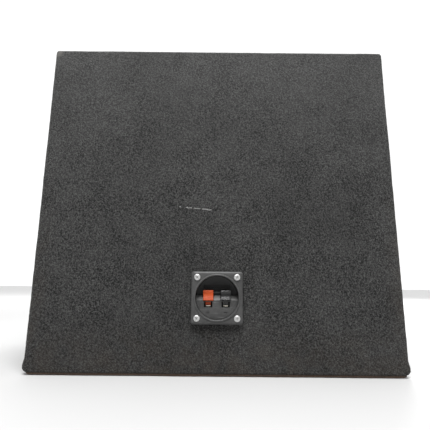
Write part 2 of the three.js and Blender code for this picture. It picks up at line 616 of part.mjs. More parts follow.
function leads(driverEnd) {
  const group = new THREE.Group();
  const bladeZ = CUP_HEIGHT + BLADE.z;
  const cupEnd = CUP_FRONT + CUP_REAR + 16;
  const terminalZ = MID_HEIGHT + TERMINAL_Z;
  for (const [colour, side] of Object.entries(SIDES)) {
    const cupX = (side * TAB_PITCH) / 2;
    const driverX = side * TERMINAL_X;
    const route = [
      [cupX, cupEnd + GAP, bladeZ], [cupX, cupEnd + 8, bladeZ], [cupX * 1.2, -70, 50], [cupX * 1.6, -25, 34],
      [driverX, 15, 44], [driverX, driverEnd - 16, terminalZ - 8], [driverX, driverEnd - 5, terminalZ],
      [driverX, driverEnd, terminalZ],
    ];
    group.add(named(`${colour}_lead`, lead(route, LEAD_RADIUS, 24, 4), `${colour}Jacket`));
    group.add(named(`${colour}_cup_receptacle`,
      receptacle(BLADE, [cupEnd - 12, cupEnd]), 'zinc', [cupX, 0, bladeZ]));
  }
  return group;
}

// ---- assembly ----

const subwoofer = new THREE.Group();
const speaker = driver();
subwoofer.add(...panels(), ...carpets(), terminalCup(), speaker.group, leads(speaker.leadEnd));

const extent = new THREE.Box3().setFromObject(subwoofer);
subwoofer.position.y = -(extent.min.y + extent.max.y) / 2;

export default subwoofer;
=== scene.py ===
"""Looks for a carpeted car subwoofer box: carpet, terminal cup, driver front, camera and soft studio light.

Lengths are metres, but the shapes of the cup and the driver are drawn in millimetres from their own middles.
The terminal panel faces -Y and the driver faces +Y.
"""

import json
import math
import random

import bmesh
import bpy
from mathutils import Matrix, Vector, noise


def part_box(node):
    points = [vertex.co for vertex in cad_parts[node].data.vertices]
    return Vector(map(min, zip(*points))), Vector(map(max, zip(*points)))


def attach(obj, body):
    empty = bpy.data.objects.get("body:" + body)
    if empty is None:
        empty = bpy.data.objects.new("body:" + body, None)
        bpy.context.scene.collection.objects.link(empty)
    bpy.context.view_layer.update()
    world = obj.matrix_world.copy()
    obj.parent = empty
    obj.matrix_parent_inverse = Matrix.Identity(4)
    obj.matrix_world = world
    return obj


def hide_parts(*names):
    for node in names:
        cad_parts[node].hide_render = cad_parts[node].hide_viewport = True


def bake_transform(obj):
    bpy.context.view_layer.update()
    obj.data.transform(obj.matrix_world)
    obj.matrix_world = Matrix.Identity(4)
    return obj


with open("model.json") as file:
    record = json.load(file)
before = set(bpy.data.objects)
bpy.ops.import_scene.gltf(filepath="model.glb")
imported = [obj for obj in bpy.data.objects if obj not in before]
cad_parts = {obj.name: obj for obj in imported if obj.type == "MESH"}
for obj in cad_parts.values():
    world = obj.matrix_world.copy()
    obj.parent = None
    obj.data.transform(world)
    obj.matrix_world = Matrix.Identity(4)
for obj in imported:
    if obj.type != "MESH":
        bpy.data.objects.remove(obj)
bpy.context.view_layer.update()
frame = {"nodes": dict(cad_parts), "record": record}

MM = 0.001
TAU = 2 * math.pi
random.seed(12)


# ---- places taken from the frame ----

back_low, back_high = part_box("carpet_wrap")
BOX_LOW = Vector((back_low.x, back_low.y, 0.0))
BOX_HIGH = Vector(back_high)
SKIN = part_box("carpet_bottom")[1].z

cup_low, cup_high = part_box("terminal_cup")
CUP = Vector(((cup_low.x + cup_high.x) / 2, cup_low.y, (cup_low.z + cup_high.z) / 2))

basket_low, basket_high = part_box("basket")
DRIVER = Vector(((basket_low.x + basket_high.x) / 2, BOX_HIGH.y, (basket_low.z + basket_high.z) / 2))
FRAME_RADIUS = (basket_high.x - basket_low.x) / 2

# terminal cup, millimetres from the middle of the plate's front face
PLATE_HALF = (cup_high.x - cup_low.x) / MM / 2
RECESS_RADIUS = 24.0
RECESS_DEPTH = 17.0
LEDGE_FRONT = 4.0
LEDGE_LOW = -3.1
LEDGE_HIGH = 2.0
CUP_SIDES = 96           # points round each loop of the moulding


# ---- mesh helpers ----

def link(mesh, name):
    piece = bpy.data.objects.new(name, mesh)
    bpy.context.scene.collection.objects.link(piece)
    return piece


def from_faces(name, points, faces):
    mesh = bpy.data.meshes.new(name)
    mesh.from_pydata([tuple(p) for p in points], [], faces)
    mesh.validate()
    shaped = bmesh.new()
    shaped.from_mesh(mesh)
    bmesh.ops.recalc_face_normals(shaped, faces=shaped.faces)
    shaped.to_mesh(mesh)
    shaped.free()
    return link(mesh, name)


def apply_modifiers(piece):
    evaluated = piece.evaluated_get(bpy.context.evaluated_depsgraph_get())
    mesh = bpy.data.meshes.new_from_object(evaluated)
    piece.modifiers.clear()
    piece.data = mesh


def smooth(piece, angle=35):
    """Smooth shading that keeps edges sharper than the angle."""
    piece.data.shade_smooth()
    piece.data.set_sharp_from_angle(angle=math.radians(angle))
    return piece


def soften_edges(piece, width, segments=2, angle=30):
    """Rounds the edges of a finished piece."""
    bevel = piece.modifiers.new("rounded_edges", "BEVEL")
    bevel.width = width
    bevel.segments = segments
    bevel.limit_method = "ANGLE"
    bevel.angle_limit = math.radians(angle)
    bevel.use_clamp_overlap = True


def split_edges(piece, angle=50):
    """Keeps flat faces flat in shading, without changing the mesh."""
    split = piece.modifiers.new("crisp_edges", "EDGE_SPLIT")
    split.split_angle = math.radians(angle)


def combine(piece, other, operation):
    """Cuts the other piece out of this one, or joins it on, and removes it."""
    boolean = piece.modifiers.new(operation.lower(), "BOOLEAN")
    boolean.operation = operation
    boolean.solver = "EXACT"
    boolean.object = other
    apply_modifiers(piece)
    bpy.data.objects.remove(other)


def lathe(name, profile, centre, sides):
    """Turns a closed [radius, y] profile about the Y axis through centre."""
    points = []
    faces = []
    count = len(profile)
    for i in range(sides):
        turn = TAU * i / sides
        for radius, y in profile:
            points.append(centre + Vector((radius * math.cos(turn), y, radius * math.sin(turn))))
        for k in range(count):
            following = (i + 1) % sides
            faces.append((i * count + k, i * count + (k + 1) % count,
                          following * count + (k + 1) % count, following * count + k))
    piece = from_faces(name, points, faces)
    shaped = bmesh.new()
    shaped.from_mesh(piece.data)
    bmesh.ops.remove_doubles(shaped, verts=shaped.verts, dist=1e-7)
    bmesh.ops.recalc_face_normals(shaped, faces=shaped.faces)
    shaped.to_mesh(piece.data)
    shaped.free()
    return piece


def sheet_profile(path, thickness):
    """Offsets an open [radius, y] path to both sides, so that a sheet can be turned from it."""
    def side(distance):
        result = []
        for i, (radius, y) in enumerate(path):
            before = path[max(i - 1, 0)]
            after = path[min(i + 1, len(path) - 1)]
            along = (after[0] - before[0], after[1] - before[1])
            length = math.hypot(*along)
            shift = 0.0 if radius == 0 else along[1] / length
            result.append((radius + shift * distance, y - along[0] / length * distance))
        return result
    return side(thickness / 2) + side(-thickness / 2)[::-1]


def extrude_x(name, outline, low, high):
    """Extrudes a closed [y, z] outline along X from low to high."""
    count = len(outline)
    points = [(x, y, z) for x in (low, high) for y, z in outline]
    faces = [tuple(range(count)), tuple(range(count, 2 * count))]
    for k in range(count):
        following = (k + 1) % count
        faces.append((k, following, count + following, count + k))
    return from_faces(name, points, faces)


def cuboid(name, x, y, z):
    corners = [(a, b, c) for a in x for b in y for c in z]
    faces = [(0, 1, 3, 2), (4, 6, 7, 5), (0, 4, 5, 1), (2, 3, 7, 6), (0, 2, 6, 4), (1, 5, 7, 3)]
    return from_faces(name, corners, faces)


def arc(centre, radius, start, end, steps):
    """Points on an arc, angles in degrees."""
    result = []
    for i in range(steps + 1):
        angle = math.radians(start + (end - start) * i / steps)
        result.append((centre[0] + radius * math.cos(angle), centre[1] + radius * math.sin(angle)))
    return result


# ---- material helpers ----

class Nodes:
    """A short way to write a material's node tree."""

    def __init__(self, name):
        self.material = bpy.data.materials.new(name)
        self.material.use_nodes = True
        self.tree = self.material.node_tree
        self.shader = self.tree.nodes["Principled BSDF"]
        self.place = self.add("ShaderNodeTexCoord").outputs["Object"]

    def add(self, kind, **settings):
        node = self.tree.nodes.new(kind)
        for key, value in settings.items():
            setattr(node, key, value)
        return node

    def put(self, value, socket):
        if isinstance(value, bpy.types.NodeSocket):
            self.tree.links.new(value, socket)
        else:
            socket.default_value = value

    def stretched(self, scale, turn=(0, 0, 0)):
        node = self.add("ShaderNodeMapping")
        self.put(self.place, node.inputs["Vector"])
        node.inputs["Scale"].default_value = scale
        node.inputs["Rotation"].default_value = turn
        return node.outputs["Vector"]

    def noise(self, scale, detail=4.0, roughness=0.6, place=None, distortion=0.0):
        node = self.add("ShaderNodeTexNoise")
        self.put(place or self.place, node.inputs["Vector"])
        node.inputs["Scale"].default_value = scale
        node.inputs["Detail"].default_value = detail
        node.inputs["Roughness"].default_value = roughness
        node.inputs["Distortion"].default_value = distortion
        return node.outputs["Fac"]

    def cells(self, scale):
        node = self.add("ShaderNodeTexVoronoi")
        self.put(self.place, node.inputs["Vector"])
        node.inputs["Scale"].default_value = scale
        return node.outputs["Distance"]

    def span(self, value, low, high, to_low=0.0, to_high=1.0):
        node = self.add("ShaderNodeMapRange", interpolation_type="SMOOTHSTEP")
        self.put(value, node.inputs["Value"])
        node.inputs["From Min"].default_value = low
        node.inputs["From Max"].default_value = high
        node.inputs["To Min"].default_value = to_low
        node.inputs["To Max"].default_value = to_high
        return node.outputs["Result"]

    def math(self, operation, first, second=0.0):
        node = self.add("ShaderNodeMath", operation=operation)
        self.put(first, node.inputs[0])
        self.put(second, node.inputs[1])
        return node.outputs["Value"]

    def blend(self, amount, first, second):
        """Mixes two colours by an amount from 0 to 1."""
        node = self.add("ShaderNodeMix", data_type="RGBA")
        self.put(amount, node.inputs["Factor"])
        for value, socket in ((first, node.inputs[6]), (second, node.inputs[7])):
            if isinstance(value, tuple):
                socket.default_value = (*value, 1.0)
            else:
                self.put(value, socket)
        return node.outputs[2]

    def distance(self, point):
        node = self.add("ShaderNodeVectorMath", operation="DISTANCE")
        self.put(self.place, node.inputs[0])
        node.inputs[1].default_value = point
        return node.outputs["Value"]

    def bump(self, height, distance, strength, normal=None):
        node = self.add("ShaderNodeBump")
        self.put(height, node.inputs["Height"])
        node.inputs["Distance"].default_value = distance
        node.inputs["Strength"].default_value = strength
        if normal is not None:
            self.put(normal, node.inputs["Normal"])
        return node.outputs["Normal"]

    def finish(self, colour, roughness, normal=None):
        self.put(colour, self.shader.inputs["Base Color"])
        self.put(roughness, self.shader.inputs["Roughness"])
        if normal is not None:
            self.put(normal, self.shader.inputs["Normal"])
        return self.material


def set_constant(material, **constants):
    shader = material.node_tree.nodes["Principled BSDF"]
    for name, value in constants.items():
        shader.inputs[name.replace("_", " ")].default_value = value
    return material


def separated(nodes, vector):
    split = nodes.add("ShaderNodeSeparateXYZ")
    nodes.put(vector, split.inputs["Vector"])
    return split.outputs


# ---- carpet material ----

SCUFF_START = Vector((-0.0375, 0.0, 0.1865))
SCUFF_END = Vector((-0.0065, 0.0, 0.1838))
SCUFF_WIDTH = 0.0011
SCUFF_DASHES = ((0.0, 0.25), (0.29, 0.57), (0.61, 1.0))    # parts of the length that are marked
SCUFF_FADE = 0.0008              # length over which a dash starts or stops
SCUFF_WANDER = 0.0026
SCUFF_DOT = (-0.0068, 0.0008)    # x and z of the stray dot from the scratch's start


def scuff_mask(nodes):
    """A thin broken pale scratch on the terminal panel, with one stray dot beside it."""
    x, y, z = separated(nodes, nodes.place)
    slope = (SCUFF_END.z - SCUFF_START.z) / (SCUFF_END.x - SCUFF_START.x)
    line = nodes.math("ADD", nodes.math("MULTIPLY", x, slope), SCUFF_START.z - slope * SCUFF_START.x)
    wander = nodes.math("MULTIPLY", nodes.math("SUBTRACT", nodes.noise(420, 2), 0.5), SCUFF_WANDER)
    off = nodes.math("ABSOLUTE", nodes.math("SUBTRACT", nodes.math("ADD", z, wander), line))
    across = nodes.span(off, SCUFF_WIDTH * 0.3, SCUFF_WIDTH * 0.62, 1.0, 0.0)
    length = SCUFF_END.x - SCUFF_START.x
    along = 0.0
    for start, end in SCUFF_DASHES:
        low = SCUFF_START.x + length * start
        high = SCUFF_START.x + length * end
        started = nodes.span(x, low, low + SCUFF_FADE)
        lasting = nodes.span(x, high - SCUFF_FADE, high, 1.0, 0.0)
        along = nodes.math("ADD", along, nodes.math("MULTIPLY", started, lasting))
    worn = nodes.span(nodes.noise(700, 1), 0.35, 0.6, 0.45, 1.0)
    dot_x = nodes.math("SUBTRACT", x, SCUFF_START.x + SCUFF_DOT[0])
    dot_z = nodes.math("SUBTRACT", z, SCUFF_START.z + SCUFF_DOT[1])
    dot_distance = nodes.math("SQRT", nodes.math("ADD", nodes.math("POWER", dot_x, 2.0),
                                                 nodes.math("POWER", dot_z, 2.0)))
    dot = nodes.span(dot_distance, 0.0004, 0.0011, 0.8, 0.0)
    scratch = nodes.math("MULTIPLY", nodes.math("MULTIPLY", across, along), worn)
    terminal_side = nodes.span(y, BOX_LOW.y + 0.02, BOX_LOW.y + 0.03, 1.0, 0.0)
    return nodes.math("MULTIPLY", nodes.math("MAXIMUM", scratch, dot), terminal_side)


def ridge(nodes, value, width):
    """Thin curling lines where a noise passes its middle value."""
    return nodes.span(nodes.math("ABSOLUTE", nodes.math("SUBTRACT", value, 0.5)), 0.0, width, 1.0, 0.0)


def worn_corner(nodes):
    """The carpet is rubbed pale on one upper corner of the terminal panel."""
    corner = (BOX_LOW.x + 0.004, BOX_LOW.y, BOX_HIGH.z - 0.005)
    return nodes.span(nodes.distance(corner), 0.003, 0.0075, 0.6, 0.0)


# colours of the carpet, from the felt itself to its wear, its painted light and its painted bounce light
FELT_DARK = (0.0072, 0.0072, 0.0071)
FELT_PALE = (0.036, 0.0359, 0.0354)
FELT_FIBRE = (0.134, 0.1335, 0.131)
FELT_SHADOW = (0.009, 0.009, 0.009)
FELT_WORN = (0.096, 0.096, 0.0945)
FELT_PAINTED_TOP_LIGHT = (0.066, 0.066, 0.065)
WARM_BOUNCE = (0.068, 0.056, 0.045)
BOTTOM_EDGE_BOUNCE = (0.11, 0.073, 0.052)
RUBBED_PALE = (0.125, 0.121, 0.113)
SCRATCH_PALE = (0.33, 0.328, 0.322)


def carpet_material():
    """Heathered charcoal needle-felt: dark and pale fibres in short curls, worn in patches, with painted
    light and bounce.
    """
    nodes = Nodes("charcoal_carpet")
    curl_a = nodes.noise(400, 2, 0.5, nodes.stretched((1.0, 1.0, 0.7)), 1.6)
    curl_b = nodes.noise(350, 2, 0.5, nodes.stretched((0.7, 1.0, 1.0), (0.0, 0.6, 0.3)), 1.9)
    tuft = nodes.noise(560, 2, 0.55, distortion=0.8)
    fine = nodes.noise(2200, 2, 0.6)
    patches = nodes.noise(34, 4, 0.7)
    broad = nodes.noise(9, 2, 0.5)
    threads = nodes.math("MAXIMUM", ridge(nodes, curl_a, 0.07), ridge(nodes, curl_b, 0.055))
    threads = nodes.math("MULTIPLY", threads, nodes.span(tuft, 0.34, 0.66))
    shade = nodes.span(tuft, 0.36, 0.7)
    colour = nodes.blend(shade, FELT_DARK, FELT_PALE)
    colour = nodes.blend(nodes.math("MULTIPLY", threads, 0.85), colour, FELT_FIBRE)
    colour = nodes.blend(nodes.span(fine, 0.3, 0.7, 0.3, 0.0), colour, FELT_SHADOW)
    colour = nodes.blend(nodes.span(patches, 0.35, 0.7, 0.0, 0.2), colour, FELT_WORN)
    colour = nodes.blend(nodes.span(broad, 0.3, 0.7, 0.24, 0.0), colour, FELT_SHADOW)
    x, _, z = separated(nodes, nodes.place)
    # painted light: the carpet is painted paler towards the top of the box, where the key light falls more
    # strongly
    painted_top_light = nodes.span(z, 0.2, BOX_HIGH.z, 0.0, 0.16)
    colour = nodes.blend(painted_top_light, colour, FELT_PAINTED_TOP_LIGHT)
    # painted bounce light: a warm brown tint in patches, low down and near the side edges, standing in for
    # light from a brown floor
    blotches = nodes.span(nodes.noise(45, 3), 0.3, 0.7)
    low_warm_bounce = nodes.span(z, 0.0, 0.07, 1.0, 0.0)
    side_warm_bounce = nodes.math("MULTIPLY", nodes.span(nodes.math("ABSOLUTE", x), 0.186, 0.209),
                           nodes.span(z, 0.06, 0.26, 1.0, 0.0))
    dust = nodes.math("MULTIPLY", nodes.math("MAXIMUM", low_warm_bounce, side_warm_bounce), blotches)
    colour = nodes.blend(nodes.math("MULTIPLY", dust, 0.34), colour, WARM_BOUNCE)
    # painted bounce light: the carpet's bottom edge is painted warm brown, standing in for light from a brown
    # floor
    seam = nodes.span(z, SKIN * 0.7, SKIN * 1.3, 0.85, 0.0)
    colour = nodes.blend(seam, colour, BOTTOM_EDGE_BOUNCE)
    colour = nodes.blend(worn_corner(nodes), colour, RUBBED_PALE)
    colour = nodes.blend(scuff_mask(nodes), colour, SCRATCH_PALE)
    height = nodes.math("ADD", nodes.math("MULTIPLY", threads, 0.5), nodes.math("MULTIPLY", tuft, 0.8))
    normal = nodes.bump(height, 0.0009, 0.8)
    normal = nodes.bump(fine, 0.0002, 0.4, normal)
    material = nodes.finish(colour, 0.95, normal)
    return set_constant(material, Sheen_Weight=0.08, Sheen_Roughness=0.45, Specular_IOR_Level=0.2)


# ---- other materials ----

def plastic(name, colour, roughness=0.42, grain=0.00006, mottle=0.12, wear=(0.3, 0.3, 0.3), wear_amount=0.25,
            painted_light_and_shade=None):
    """Moulded plastic with a fine satin grain, slight mottling and a few faint scratches."""
    nodes = Nodes(name)
    cloud = nodes.noise(90, 4, 0.6)
    fine = nodes.noise(2600, 2, 0.5)
    scratches = nodes.noise(900, 2, 0.4, nodes.stretched((0.05, 1.0, 1.0), (0.0, 0.35, 0.2)))
    lighter = tuple(min(1.0, c * (1 + mottle) + 0.004) for c in colour)
    darker = tuple(c * (1 - mottle) for c in colour)
    surface = nodes.blend(nodes.span(cloud, 0.35, 0.65), darker, lighter)
    marks = nodes.math("MULTIPLY", nodes.span(scratches, 0.66, 0.74), wear_amount)
    surface = nodes.blend(marks, surface, wear)
    # painted light and shade given by the caller, if any
    if painted_light_and_shade:
        surface = painted_light_and_shade(nodes, surface)
    mixed = nodes.math("ADD", nodes.math("MULTIPLY", fine, 0.5), nodes.math("MULTIPLY", cloud, 0.5))
    rough = nodes.span(mixed, 0.3, 0.7, roughness - 0.07, roughness + 0.09)
    normal = nodes.bump(fine, grain, 0.6)
    return nodes.finish(surface, rough, normal)


# painted light on the ledge, painted shade in the recess and a painted shadow in the slot
LEDGE_PAINTED_LIGHT = (0.15, 0.149, 0.146)
RECESS_PAINTED_SHADE = (0.0095, 0.0093, 0.0091)
SLOT_PAINTED_SHADOW = (0.002, 0.002, 0.002)


def recess_painted_light_and_shade(nodes, surface):
    """Painted shade towards the recess's floor, a nearly black painted shadow in its slot, and painted light
    on the ledge.
    """
    _, y, z = separated(nodes, nodes.place)
    front = CUP.y + LEDGE_FRONT * MM
    low = CUP.z + LEDGE_LOW * MM
    high = CUP.z + LEDGE_HIGH * MM
    # painted light: the sloped ledge is painted pale, as if brightly lit from above
    above_low = nodes.span(z, low, low + 0.6 * MM)
    below_high = nodes.span(z, high, high + MM, 0.55, 0.0)
    behind_face = nodes.span(y, front + 0.1 * MM, front + 0.5 * MM)
    ledge = nodes.math("MULTIPLY", nodes.math("MULTIPLY", above_low, below_high), behind_face)
    surface = nodes.blend(ledge, surface, LEDGE_PAINTED_LIGHT)
    # painted shade: the recess is painted darker towards its floor, where the plate's rim keeps the light out
    floor = CUP.y + RECESS_DEPTH * MM
    deep = nodes.span(y, floor - 7 * MM, floor - 0.6 * MM, 0.0, 0.92)
    surface = nodes.blend(deep, surface, RECESS_PAINTED_SHADE)
    # painted shadow: the slot in the recess's floor is painted nearly black
    slot = nodes.span(y, floor + 0.2 * MM, floor + 0.9 * MM, 0.0, 0.95)
    return nodes.blend(slot, surface, SLOT_PAINTED_SHADOW)


def metal(name, colour, roughness=0.3, tarnish=(0.25, 0.24, 0.22), tarnish_amount=0.35):
    """Plated or bare metal with fine grain and some dull patches."""
    nodes = Nodes(name)
    grainy = nodes.noise(1800, 3, 0.6)
    dull = nodes.span(nodes.noise(260, 4, 0.65), 0.45, 0.7)
    surface = nodes.blend(nodes.math("MULTIPLY", dull, tarnish_amount), colour, tarnish)
    rough = nodes.span(grainy, 0.25, 0.75, roughness - 0.08, roughness + 0.12)
    normal = nodes.bump(grainy, 0.00003, 0.5)
    return set_constant(nodes.finish(surface, rough, normal), Metallic=1.0)


def rubber(name, colour):
    """Moulded rubber with a fine grain and a chalky bloom in patches."""
    nodes = Nodes(name)
    fine = nodes.noise(1500, 3, 0.6)
    bloom = nodes.noise(24, 3, 0.6)
    chalky = tuple(c * 1.8 + 0.006 for c in colour)
    surface = nodes.blend(nodes.span(bloom, 0.4, 0.75, 0.0, 0.5), colour, chalky)
    rough = nodes.span(bloom, 0.3, 0.7, 0.5, 0.64)
    return nodes.finish(surface, rough, nodes.bump(fine, 0.00005, 0.6))


def foam(name, colour):
    """Closed-cell foam: small dark pores."""
    nodes = Nodes(name)
    pores = nodes.cells(1500)
    surface = nodes.blend(nodes.span(pores, 0.0, 0.5), tuple(c * 0.4 for c in colour), colour)
    return nodes.finish(surface, 0.95, nodes.bump(pores, 0.0003, 0.8))


def pressed_paper(name, colour):
    """Coated paper pulp of the cone: short matted fibres under a thin lacquer."""
    nodes = Nodes(name)
    fibres = nodes.noise(700, 5, 0.7, nodes.stretched((1, 0.5, 1)), 1.6)
    clouds = nodes.noise(60, 4, 0.6)
    surface = nodes.blend(nodes.span(fibres, 0.35, 0.7), colour, tuple(c * 1.9 + 0.004 for c in colour))
    surface = nodes.blend(nodes.span(clouds, 0.4, 0.7, 0.0, 0.35), surface, tuple(c * 0.6 for c in colour))
    rough = nodes.span(clouds, 0.3, 0.7, 0.46, 0.6)
    return nodes.finish(surface, rough, nodes.bump(fibres, 0.0003, 0.6))


CHIP_DARK = (0.30, 0.20, 0.12)
CHIP_PALE = (0.50, 0.36, 0.22)
BOARD_STAIN = (0.25, 0.165, 0.1)


def fibreboard(name):
    """Raw board: fine pale and dark fibres with darker clouds."""
    nodes = Nodes(name)
    chips = nodes.noise(900, 5, 0.7)
    clouds = nodes.noise(30, 3, 0.5)
    surface = nodes.blend(nodes.span(chips, 0.3, 0.7), CHIP_DARK, CHIP_PALE)
    surface = nodes.blend(nodes.span(clouds, 0.35, 0.7, 0.0, 0.3), surface, BOARD_STAIN)
    return nodes.finish(surface, 0.85, nodes.bump(chips, 0.0002, 0.6))


THREADS = 4200.0         # radians of the weave per metre of cloth
RESIN = (0.2, 0.12, 0.04)


def woven(name, colour):
    """The spider's resin-treated cloth."""
    nodes = Nodes(name)
    x, _, z = separated(nodes, nodes.place)
    warp = nodes.math("SINE", nodes.math("MULTIPLY", x, THREADS))
    weft = nodes.math("SINE", nodes.math("MULTIPLY", z, THREADS))
    weave = nodes.math("MULTIPLY", warp, weft)
    surface = nodes.blend(nodes.span(weave, -0.6, 0.6), tuple(c * 0.55 for c in colour), colour)
    surface = nodes.blend(nodes.span(nodes.noise(70, 3), 0.4, 0.7, 0.0, 0.3), surface, RESIN)
    return nodes.finish(surface, 0.75, nodes.bump(weave, 0.0002, 0.6))


WINDINGS = 12000.0       # radians of the winding per metre of coil


def wound_wire(name, colour):
    """Copper wire wound side by side, dark between the turns."""
    nodes = Nodes(name)
    _, y, _ = separated(nodes, nodes.place)
    turns = nodes.math("SINE", nodes.math("MULTIPLY", y, WINDINGS))
    surface = nodes.blend(nodes.span(turns, -0.5, 0.7), tuple(c * 0.4 for c in colour), colour)
    rough = nodes.span(nodes.noise(500, 2), 0.3, 0.7, 0.25, 0.4)
    material = nodes.finish(surface, rough, nodes.bump(turns, 0.0002, 0.7))
    return set_constant(material, Metallic=0.9)


MATERIALS = {
    "carpet": carpet_material(),
    "fibreboard": fibreboard("raw_fibreboard"),
    # the cup's moulding carries painted shade in its recess and slot, and painted light on its ledge
    "cup_plastic": set_constant(plastic("cup_moulding", (0.057, 0.057, 0.0565), 0.36, painted_light_and_shade=recess_painted_light_and_shade),
                                Specular_IOR_Level=0.3),
    "foam_gasket": foam("foam_gasket", (0.012, 0.012, 0.012)),
    "red_tab": set_constant(plastic("orange_red_tab", (0.4, 0.054, 0.007), 0.5, 0.00003, 0.08,
                                    (0.7, 0.25, 0.14), 0.2), Specular_IOR_Level=0.3),
    "black_tab": set_constant(plastic("black_tab", (0.0075, 0.0077, 0.008), 0.27, 0.00003, 0.15,
                                      (0.12, 0.12, 0.12), 0.25), Specular_IOR_Level=0.5),
    "spring_steel": metal("spring_strip", (0.55, 0.55, 0.55), 0.28),
    "brass": metal("contact_strip", (0.78, 0.74, 0.64), 0.3),
    "zinc_screw": set_constant(metal("bright_zinc", (0.64, 0.64, 0.635), 0.44, (0.3, 0.3, 0.29), 0.45),
                               Metallic=0.75),
    "black_screw": metal("black_oxide", (0.045, 0.045, 0.048), 0.38, (0.09, 0.08, 0.075), 0.4),
    "basket_paint": plastic("basket_enamel", (0.018, 0.018, 0.02), 0.42, 0.00025, 0.1, (0.1, 0.1, 0.1), 0.15),
    "surround_rubber": rubber("surround_rubber", (0.012, 0.012, 0.013)),
    "cone_paper": pressed_paper("cone_pulp", (0.016, 0.016, 0.018)),
    "coil_former": plastic("former_film", (0.42, 0.26, 0.1), 0.3, 0.00005),
    "copper": wound_wire("coil_copper", (0.72, 0.36, 0.19)),
    "spider_cloth": woven("spider_cloth", (0.52, 0.34, 0.12)),
    "plated_steel": metal("motor_plate", (0.5, 0.5, 0.5), 0.36),
    "ferrite": plastic("ferrite", (0.045, 0.045, 0.05), 0.6, 0.0003, 0.2, (0.12, 0.12, 0.13), 0.3),
    "board_plastic": plastic("terminal_board", (0.02, 0.02, 0.022), 0.5),
    "receptacle_tin": metal("tinned_receptacle", (0.62, 0.61, 0.58), 0.3),
    "red_jacket": plastic("red_jacket", (0.42, 0.018, 0.014), 0.4),
    "black_jacket": plastic("black_jacket", (0.014, 0.014, 0.015), 0.4),
}


def dress(piece, slot, body="enclosure", replaces=()):
    """Gives a new piece its material, the body that it moves with, and the CAD nodes that it stands for."""
    piece.data.materials.clear()
    piece.data.materials.append(MATERIALS[slot])
    if replaces:
        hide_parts(*replaces)
    if body:
        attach(piece, body)


# ---- carpet ----

FOLD = 0.0042            # radius of the carpet where it turns over an edge
GRID = 0.0034            # spacing of the mesh on the flat
GROOVE = 0.0011          # depth of a seam between two pieces of carpet
GROOVE_WIDTH = 0.0007
SIDE_LAP = 0.0055        # the long strip's edge on the side faces, from the corner
TUCK_PROUD = 0.0017      # how far the folded corners stand out at the bottom
TUCK_HEIGHT = 0.0095     # the height at which they stand out most
TUCK_PULL = 0.0035       # how far they pull in at the floor
PLATE_OPENING = 0.0245   # half the square that the cup's plate covers
DRIVER_LIP = 0.007       # how far the driver's frame covers the carpet
CLOTH = SKIN * 0.75


def grid_lines(low, high):
    """Fine lines where the carpet turns over an edge, coarse ones between."""
    fine = [FOLD * math.tan(math.radians(angle)) for angle in (0, 9, 18, 27, 36, 45)]
    lap = [SIDE_LAP - 0.0006, SIDE_LAP, SIDE_LAP + 0.0006, SIDE_LAP + 0.0014]
    start = [FOLD - d for d in reversed(fine)] + lap
    count = max(1, round((high - low - 2 * start[-1]) / GRID))
    inner = [start[-1] + (high - low - 2 * start[-1]) * i / count for i in range(1, count)]
    offsets = start + inner + [high - low - d for d in reversed(start)]
    return [low + d for d in offsets]


def rounded_box_point(point):
    """Moves a point of the sharp box onto the box with rounded edges; also gives the outward direction."""
    core = Vector(min(max(point[i], BOX_LOW[i] + FOLD), BOX_HIGH[i] - FOLD) for i in range(3))
    outward = (Vector(point) - core).normalized()
    return core + outward * FOLD, outward


def corner_tuck(point):
    """The folded corners at the bottom stand a little proud, and pull in towards the floor."""
    side = 1.0 if point.x > 0 else -1.0
    across = min(abs(point.x - BOX_LOW.x), abs(point.x - BOX_HIGH.x))
    deep = min(abs(point.y - BOX_LOW.y), abs(point.y - BOX_HIGH.y))
    near = math.exp(-(across / 0.014) ** 2) * math.exp(-(deep / 0.035) ** 2)
    proud = TUCK_PROUD * math.exp(-((point.z - TUCK_HEIGHT) / 0.0046) ** 4)
    pulled = TUCK_PULL * max(1.0 - point.z / 0.0075, 0.0) ** 2
    return Vector((side * (proud - pulled) * near, 0.0, 0.0))


def seam_groove(point):
    """Depth of the seams: along the side laps of the long strip, and round the bottom piece."""
    bottom = math.exp(-((point.z - SKIN) / GROOVE_WIDTH) ** 2) if point.z < 0.02 else 0.0
    on_side = min(point.x - BOX_LOW.x, BOX_HIGH.x - point.x) < 0.0015
    edge = min(point.y - BOX_LOW.y, BOX_HIGH.y - point.y, BOX_HIGH.z - point.z)
    side = math.exp(-((edge - SIDE_LAP) / GROOVE_WIDTH) ** 2) if on_side else 0.0
    return GROOVE * max(bottom, side)


def carpet_surface(point):
    """A point of the sharp box on the finished cloth: folded, slightly wavy, with its seams and nap."""
    place, outward = rounded_box_point(point)
    wave = 0.0003 * noise.noise(place * 14.0) + 0.0002 * noise.noise(place * 60.0)
    nap = 0.0002 * noise.noise(place * 420.0)
    lift = wave + nap - seam_groove(place)
    settled = place + outward * lift + corner_tuck(place)
    settled.z = max(settled.z, 0.0)
    return settled


def box_faces():
    """Every grid quad of the sharp box, as four corner points."""
    lines = [grid_lines(BOX_LOW[i], BOX_HIGH[i]) for i in range(3)]
    for fixed in range(3):
        first, second = [i for i in range(3) if i != fixed]
        for level in (BOX_LOW[fixed], BOX_HIGH[fixed]):
            for a0, a1 in zip(lines[first], lines[first][1:]):
                for b0, b1 in zip(lines[second], lines[second][1:]):
                    quad = []
                    for a, b in ((a0, b0), (a1, b0), (a1, b1), (a0, b1)):
                        point = [0.0, 0.0, 0.0]
                        point[fixed], point[first], point[second] = level, a, b
                        quad.append(tuple(point))
                    yield quad


